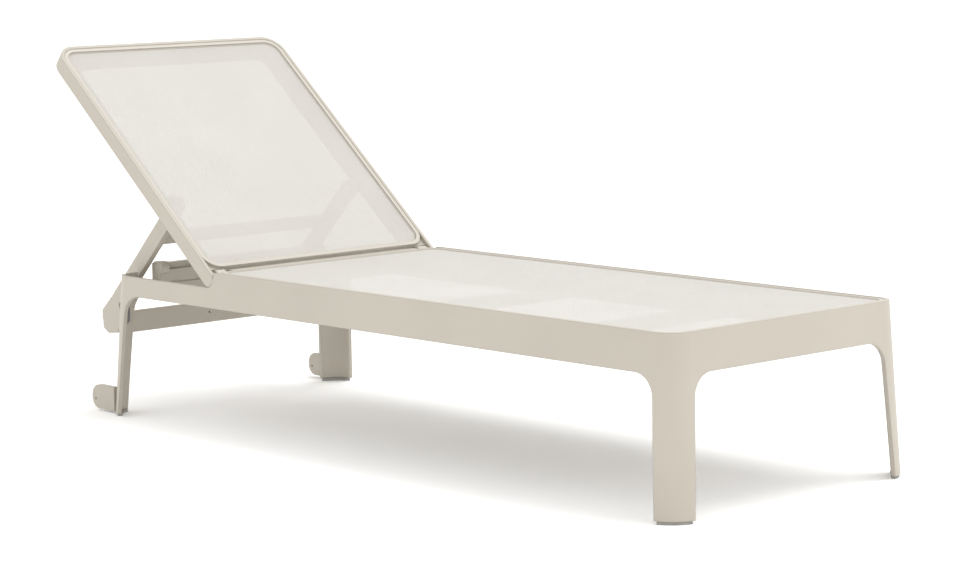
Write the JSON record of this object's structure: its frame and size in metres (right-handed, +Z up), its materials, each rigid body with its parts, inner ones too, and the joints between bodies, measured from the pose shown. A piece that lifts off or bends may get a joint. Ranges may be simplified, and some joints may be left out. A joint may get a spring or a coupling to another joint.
{
  "type": "sun lounger",
  "caption": "Stackable sun lounger with a moulded frame, stretched mesh seat and a reclining mesh backrest held up by a swinging stay.",
  "frame": {"origin": "on the floor under the middle of the whole lounger with the backrest raised as at rest", "axes": "+Z up, +X towards the foot end, +Y towards the left side of someone lying on it"},
  "size_m": [1.8944, 0.6614, 0.7874],
  "materials": {
    "resin": "fine satin grain",
    "resin_trim": "satin",
    "mesh": "open woven coated yarn",
    "steel": "brushed",
    "bush_plastic": "smooth",
    "foot_rubber": "matt",
    "pad_rubber": "matt"
  },
  "bodies": {
    "frame": {"main_frame": "resin", "rear_rail": "resin", "rear_rail_riser": "resin", "seat_sling": "mesh", "seat_retainer": "resin_trim", "seat_brace_1": "resin", "seat_brace_2": "resin", "brace_screws": "steel", "stay_catch_left": "resin", "hinge_block_left": "resin_trim", "block_screws_left": "steel", "hinge_bush_left": "bush_plastic", "foot_front_left": "foot_rubber", "stacking_pad_front_left": "pad_rubber", "foot_rear_left": "foot_rubber", "stacking_pad_rear_left": "pad_rubber", "stay_catch_right": "resin", "hinge_block_right": "resin_trim", "block_screws_right": "steel", "hinge_bush_right": "bush_plastic", "foot_front_right": "foot_rubber", "stacking_pad_front_right": "pad_rubber", "foot_rear_right": "foot_rubber", "stacking_pad_rear_right": "pad_rubber"},
    "backrest": {"backrest_frame": "resin", "backrest_sling": "mesh", "backrest_retainer": "resin_trim", "hinge_pin_left": "steel", "stay_bracket_left": "bush_plastic", "bracket_screws_left": "steel", "stay_pin_left": "steel", "hinge_pin_right": "steel", "stay_bracket_right": "bush_plastic", "bracket_screws_right": "steel", "stay_pin_right": "steel"},
    "stay": {"stay_frame": "resin"}
  },
  "joints": [
    {"name": "backrest_recline", "type": "hinge", "parent": "frame", "child": "backrest", "pos_m": [-0.39684, 0, 0.322], "axis": [0, 1, 0], "range_deg": [-40, 0]},
    {"name": "stay_swing", "type": "hinge", "parent": "backrest", "child": "stay", "pos_m": [-0.58703, 0, 0.45939], "axis": [0, 1, 0], "range_deg": [0, 85.5]}
  ],
  "couplings": [
    {"joint": "stay_swing", "follows": "backrest_recline", "ratio": -2.1375}
  ]
}
